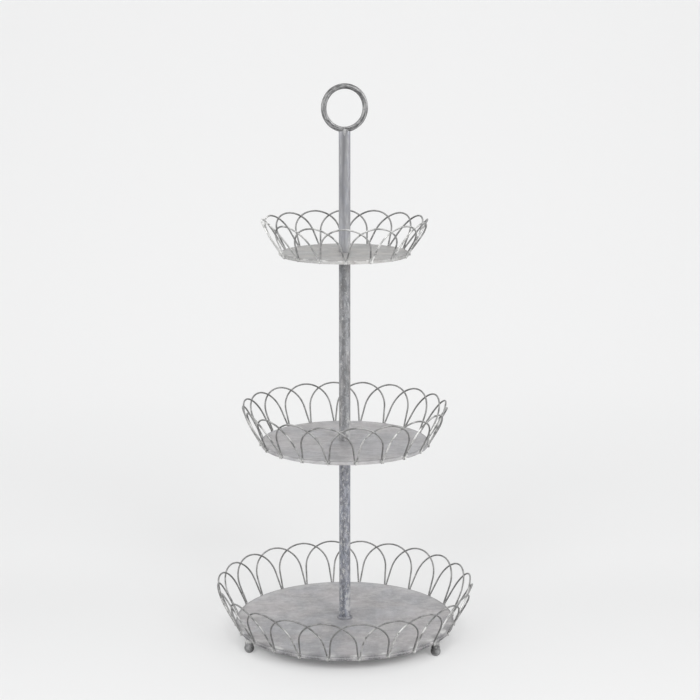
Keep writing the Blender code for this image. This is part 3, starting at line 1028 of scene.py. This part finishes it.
def painted_shade_and_blots_at(co, low, high, reflection_at_foot, width, left_shade):
    """Painted dark reflection down the front left of the tube, wavering, painted shade down its left side
    where asked, and blots close to its upper end.
    """
    angle = atan2(co.y, co.x)
    middle = DARK_REFLECTION_SIDE + noise_at(co.z * 22, 1.7, low) * 0.22
    width *= 1 + 0.5 * noise_at(co.z * 40, 5.2, low)
    away = abs((angle - middle + pi) % (2 * pi) - pi)
    band = max(0.0, 1 - away / width)
    strength = 1.0 + 0.35 * noise_at(co.z * 15, 9.1, high)
    blot = noise_at(angle * 1.3, co.z * 90, low * 7) * 1.6
    blot *= max(0.0, 1 - (high - co.z) / BLOT_END_REACH)
    near_foot = max(0.0, 1 - (co.z - low) / REFLECTION_FOOT_REACH)
    band *= 1 + (reflection_at_foot - 1) * min(1.0, near_foot * 1.6)
    # Painted shade down the tube's left side.
    left = left_shade * max(0.0, -co.x / POST_RADIUS)
    return clamp(max(band * strength + left, blot))


def foot_wash_and_highlight(co, low, bare_foot):
    """Whitewash round the foot of a section, with a painted highlight: most of it on its right side, some
    at its far left edge.
    """
    side = co.x / POST_RADIUS
    share = 0.2 + 1.1 * max(0.0, side) + 0.4 * max(0.0, -side - 0.5)
    share *= 1 - bare_foot * clamp(1.6 - (co.z - low) / BARE_FOOT_LENGTH)
    return clamp((1 - (co.z - low) / WASH_FOOT_REACH) * share * 1.3)


def make_tube(section, reflection_at_foot, reflection_width, left_shade=0.0, bare_foot=0.0):
    """Post section: a tube with its ends just broken, as long as the node that it stands for."""
    low, high = (corner.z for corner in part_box(section + "_post"))
    tube = add_cylinder(section + "_post_tube", POST_FACETS, POST_RADIUS, low, high, "NOTHING")
    wall = tube.modifiers.new("wall", "SOLIDIFY")
    wall.thickness = POST_WALL
    wall.offset = -1
    apply_modifiers(tube)
    open_mesh(tube, "EDGE")
    pick(tube, "EDGE", lambda edge: at_radius(edge, POST_RADIUS)
         and (at_level(edge, low) or at_level(edge, high)))
    bpy.ops.mesh.bevel(offset=END_ROUND, segments=2, affect="EDGES")
    pick(tube, "FACE", lambda face: abs(face.normal.z) < 0.1)
    bpy.ops.mesh.subdivide(number_cuts=1)
    for step in range(1, int((high - low) / MARK_LENGTH)):
        cut_across(low + step * MARK_LENGTH)
    close_mesh(tube)
    # Whitewash round the foot, and a painted highlight on its right side.
    mark(tube, "end", lambda corner: foot_wash_and_highlight(corner.co, low, bare_foot))
    mark(tube, "shade_and_blots", lambda corner: painted_shade_and_blots_at(corner.co, low, high, reflection_at_foot, reflection_width, left_shade))
    soften(tube, 40)
    dress(tube, POST_FINISH[section], "washed_tube", section + "_post")


# Ring handle and its weld

def make_ring():
    """Rod bent round into a ring, its two ends meeting over the post."""
    low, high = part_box("ring_handle")
    centre = Vector((0, 0, (low.z + high.z) / 2))
    start = -pi / 2 + RING_SEAM_ANGLE
    place = centre + Vector((cos(start), 0, sin(start))) * RING_RADIUS
    ring = add_piece("ring_rod", bpy.ops.mesh.primitive_circle_add, vertices=ROD_FACETS,
                     radius=ROD_RADIUS, fill_type="NGON", location=place, rotation=(0, -start, 0))
    open_mesh(ring, "VERT")
    pick_all()
    bpy.ops.mesh.spin(steps=RING_STEPS, angle=2 * pi - 2 * RING_SEAM_ANGLE, center=centre,
                      axis=(0, -1, 0))
    merge_doubles()
    close_mesh(ring)
    # The edge attribute is painted shade and dark reflection along the rod.
    mark(ring, "edge", lambda corner: rod_shade_lines(corner.co, centre))
    mark(ring, "along", lambda corner: rod_place(corner.co, centre), "FLOAT_VECTOR")
    ring.data.transform(Matrix.Rotation(RING_TURN, 4, "Z"))
    soften(ring, 40)
    dress(ring, RING_FINISH, "washed_tube", "ring_handle")


def rod_place(co, centre):
    """Place on the rod: outwards and sideways in rod radii, and the angle up from its seam."""
    out = (hypot(co.x, co.z - centre.z) - RING_RADIUS) / ROD_RADIUS
    turn = (atan2(co.z - centre.z, co.x) + pi / 2) % (2 * pi)
    return Vector((out, co.y / ROD_RADIUS, turn))


def rod_shade_lines(co, centre):
    """Lines of painted shade and dark reflection along the rod: two over its top, one that wanders inside
    and out, and more on its outer right.
    """
    out, side, turn = rod_place(co, centre)
    rise = (co.z - centre.z) / RING_RADIUS
    wander = 0.55 * noise_at(turn * 0.8, 3.3, 1.9) - 0.1
    band = max(0.0, 1 - abs(out - wander) / 0.42)
    strength = 0.55 + 0.7 * noise_at(turn * 2.4, 7.7, side)
    over_top = max(0.0, rise) * clamp((abs(out) - 0.2) * 2.2)
    lines = noise_at(out * 4.6, side * 4.6, turn * 1.3) * 2.0
    right = 0.6 * max(0.0, out) * max(0.0, co.x / RING_RADIUS)
    return clamp(band * strength * (1 - 0.8 * max(0.0, rise)) + over_top + right + lines)


def make_ring_weld():
    """Plug in the post's top with the weld bead round the ring and its tongues down the post."""
    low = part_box("ring_seat_plug")[0].z
    post_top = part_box("upper_post")[1].z
    plug = add_cylinder("post_plug", POST_FACETS, POST_RADIUS - POST_WALL - WIRE_GAP, low, post_top)
    open_mesh(plug)
    pick(plug, "FACE", facing_up)
    bpy.ops.mesh.inset(thickness=CROWN_INSET)
    draw_up(CROWN_RISE)
    close_mesh(plug)
    soften(plug, 40)
    dress(plug, WELD_FINISH, "washed_tube", "ring_seat_plug")

    bead = make_drop("ring_weld_bead", [2 * width for width in WELD_BEAD])
    set_down(bead, Vector((0, 0, post_top + BEAD_LIFT)), RING_TURN)
    tongues = [make_tongue("ring_weld_tongue_" + side, angle, post_top)
               for side, angle in (("front", -pi / 2), ("back", pi / 2))]
    weld = join_pieces([bead, *tongues], "ring_weld")
    soften(weld, 180)
    dress(weld, WELD_FINISH, "washed_tube")


def make_tongue(name, angle, post_top):
    """Run of weld down the post's side, wide at the ring and narrow below."""
    half_width, half_depth, half_height = WELD_TONGUE
    tongue = make_drop(name, (2 * half_depth, 2 * half_width, 2 * half_height))
    turn = Matrix.Rotation(angle, 3, "Z")
    for corner in tongue.data.vertices:
        share = (corner.co.z / half_height + 1) / 2
        side = corner.co.y * (TONGUE_TIP_SHARE + (1 - TONGUE_TIP_SHARE) * share)
        depth = sqrt(POST_RADIUS ** 2 - side ** 2) + corner.co.x
        spot = turn @ Vector((depth, side, post_top - half_height * 0.35 + corner.co.z))
        corner.co = spot + shift_at(spot / DAB_GRAIN) * DAB_ROUGHNESS * 0.6
    return tongue


# Base

def make_foot(name, node, painted_shade_side):
    """Ball foot: a sphere with its lower pole pressed flat and its neck drawn up to the rim, with painted
    shade on one side.
    """
    painted_shade_side = Vector(painted_shade_side).normalized()
    low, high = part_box(node)
    middle = (low + high) / 2
    centre = Vector((0, 0, sqrt(FOOT_BALL_RADIUS ** 2 - FOOT_FLAT_RADIUS ** 2)))
    neck = centre.z + sqrt(FOOT_BALL_RADIUS ** 2 - FOOT_NECK_RADIUS ** 2)
    foot = add_piece(name, bpy.ops.mesh.primitive_uv_sphere_add, segments=FOOT_FACETS,
                     ring_count=FOOT_RINGS, radius=FOOT_BALL_RADIUS, location=centre)
    open_mesh(foot)
    cut_across(0, use_fill=True, clear_inner=True)
    cut_across(neck, use_fill=True, clear_outer=True)
    pick(foot, "FACE", lambda face: facing_up(face) and len(face.verts) > 8)
    draw_up(FOOT_HEIGHT - neck - FOOT_CHAMFER)
    draw_up(FOOT_CHAMFER)
    bpy.ops.transform.resize(value=(FOOT_TOP_SHARE, FOOT_TOP_SHARE, 1))
    bpy.ops.mesh.inset(thickness=FOOT_TOP_INSET)
    draw_up(high.z - FOOT_HEIGHT)
    close_mesh(foot)
    mark(foot, "washed", lambda corner: clamp((corner.co.z - neck) / FOOT_WASH_LENGTH))
    # Painted shade on the side of the ball given by the last argument.
    mark(foot, "edge", lambda corner: max(0.0, (corner.co - centre).normalized().dot(painted_shade_side)))
    foot.data.transform(Matrix.Translation((middle.x, middle.y, 0)))
    soften(foot, 35)
    dress(foot, FOOT_FINISH, "cast_foot", node)


def make_collar():
    """Collar drawn up to the post in a hollow curve and rounded at its foot."""
    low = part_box("base_collar")[0].z
    collar = add_cylinder("post_collar", POST_FACETS, COLLAR_RADIUS, low, low + COLLAR_SKIRT)
    open_mesh(collar)
    reach = COLLAR_RADIUS
    for radius, rise in COLLAR_STEPS:
        pick(collar, "FACE", facing_up)
        draw_up(rise)
        bpy.ops.transform.resize(value=(radius / reach, radius / reach, 1))
        reach = radius
    pick(collar, "FACE", facing_up)
    bpy.ops.mesh.inset(thickness=reach - COLLAR_BORE_RADIUS)
    pick(collar, "FACE", facing_down)
    bpy.ops.mesh.inset(thickness=COLLAR_RADIUS - COLLAR_BORE_RADIUS)
    pick(collar, "FACE", lambda face: len(face.verts) == POST_FACETS)
    bpy.ops.mesh.bridge_edge_loops()
    close_mesh(collar)
    soften(collar, 60)
    dress(collar, COLLAR_FINISH, "washed_tube", "base_collar")


def finish_fixings():
    """The steel plugs, studs, bolt and washer keep their own shapes."""
    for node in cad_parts.values():
        if not node.hide_render:
            node.data.materials.clear()
            node.data.materials.append(FIXING_FINISH)


# Stage, light and camera

def split_for_camera(output, lighting, shown):
    """One shader for the light, and another for what the camera sees, also in metal or through glass."""
    rays = add_node(output.id_data, "ShaderNodeLightPath").outputs
    seen = calculate("MAXIMUM", rays["Is Camera Ray"], rays["Is Glossy Ray"])
    seen = calculate("MAXIMUM", seen, rays["Is Transmission Ray"])
    mixed = add_node(output.id_data, "ShaderNodeMixShader", {"Fac": seen, 1: lighting, 2: shown})
    feed(output, {"Surface": mixed.outputs["Shader"]})


def backdrop_paint():
    """Pale paint that the camera sees near white, and that keeps the object's shadow; outside SHADOW_EDGE
    its glow, painted light, rises to keep the shadow close.
    """
    material, tree, shader, place = new_material("pale_backdrop")
    feed(shader, {"Base Color": (PAPER_GREY,) * 3, "Roughness": 1.0, "Specular IOR Level": 0.0})
    reach = add_node(tree, "ShaderNodeVectorMath", {0: place}, operation="LENGTH").outputs["Value"]
    across = add_node(tree, "ShaderNodeSeparateXYZ", {"Vector": place}).outputs
    colour = times(remap(reach, *SHADOW_EDGE, PAPER_GREY, PAPER_GREY_OUTSIDE),
                   remap(across["Y"], -2.4, -0.3, 0.5, 1.0))
    paper = add_node(tree, "ShaderNodeBsdfDiffuse", {"Color": colour})
    # Painted light: the glow rises outside SHADOW_EDGE, lifting the floor's shadow there.
    strength = add_up((remap(reach, *SHADOW_EDGE, 0.055, 0.445), 1.0),
                      (remap(across["Y"], 0.1, 0.4), 0.05),
                      (remap(across["Y"], 0.3, 1.6), 0.1),
                      (remap(across["Y"], -3.0, -1.6, 1.0, 0.0), 0.33),
                      (remap(calculate("ABSOLUTE", across["X"], 0.0), 1.3, 4.0), 0.24))
    glow = add_node(tree, "ShaderNodeEmission", {"Color": (0.995, 0.998, 1.0), "Strength": strength})
    both = add_node(tree, "ShaderNodeAddShader", {0: paper.outputs["BSDF"], 1: glow.outputs["Emission"]})
    split_for_camera(tree.nodes["Material Output"], shader.outputs["BSDF"], both.outputs["Shader"])
    return material


def make_backdrop():
    """Sheet of pale paper: a floor that sweeps up behind the object."""
    sweep = add_piece("backdrop", bpy.ops.mesh.primitive_plane_add, size=1, location=(0, 0, 0))
    open_mesh(sweep, "VERT")
    pick_all()
    bpy.ops.transform.resize(value=(FLOOR_WIDTH, FLOOR_DEPTH, 1))
    pick(sweep, "EDGE", at_back)
    draw_up(WALL_HEIGHT)
    pick(sweep, "EDGE", lambda edge: at_back(edge) and at_level(edge, 0))
    bpy.ops.mesh.bevel(offset=SWEEP_RADIUS, segments=24, affect="EDGES")
    close_mesh(sweep)
    soften(sweep, 180)
    sweep.data.materials.append(backdrop_paint())


def add_lamp(name, place, size, watts, use):
    """Round softbox aimed at the stand."""
    start_clean()
    bpy.ops.object.light_add(type="AREA", location=place)
    lamp = bpy.context.object
    lamp.name = name
    lamp.data.shape = "DISK"
    lamp.data.size = size
    lamp.data.energy = watts
    lamp.visible_glossy = use != "lit"
    lamp.visible_diffuse = use != "mirrored"
    lamp.rotation_euler = (Vector(LAMP_AIM) - Vector(place)).to_track_quat("-Z", "Y").to_euler()


def make_light():
    """Soft sky light that shows as pale paper where it is seen, and the lamps."""
    world = bpy.context.scene.world or bpy.data.worlds.new("studio")
    bpy.context.scene.world = world
    world.use_nodes = True
    tree = world.node_tree
    sky = tree.nodes["Background"]
    feed(sky, {"Color": (1.0, 1.0, 1.0), "Strength": SKY_STRENGTH})
    paper = add_node(tree, "ShaderNodeBackground", {"Color": PALE_SKY, "Strength": 1.0})
    split_for_camera(tree.nodes["World Output"], sky.outputs["Background"], paper.outputs["Background"])
    for lamp in LAMPS:
        add_lamp(*lamp)


def make_camera():
    start_clean()
    bpy.ops.object.camera_add(location=CAMERA_PLACE, rotation=(pi / 2 - CAMERA_PITCH, 0, 0))
    camera = bpy.context.object
    camera.data.lens = LENS_MM
    camera.data.sensor_width = SENSOR_MM
    bpy.context.scene.camera = camera


make_camera()
make_backdrop()
make_light()
for tier in TIERS:
    make_tray(tier)
    make_gallery(tier)
    make_gallery_welds(tier)
make_tube("upper", reflection_at_foot=0.2, reflection_width=radians(40))
make_tube("middle", reflection_at_foot=0.7, reflection_width=radians(30))
make_tube("lower", reflection_at_foot=1.6, reflection_width=radians(24), left_shade=0.5, bare_foot=0.85)
make_ring()
make_ring_weld()
make_collar()
make_foot("left_ball_foot", "front_left_foot", (0.8, 0, -0.4))
make_foot("right_ball_foot", "front_right_foot", (-0.6, -0.4, 0.5))
make_foot("rear_ball_foot", "back_foot", (0.3, 0.8, -0.3))
finish_fixings()
bpy.context.scene.view_settings.view_transform = "Standard"
start_clean()
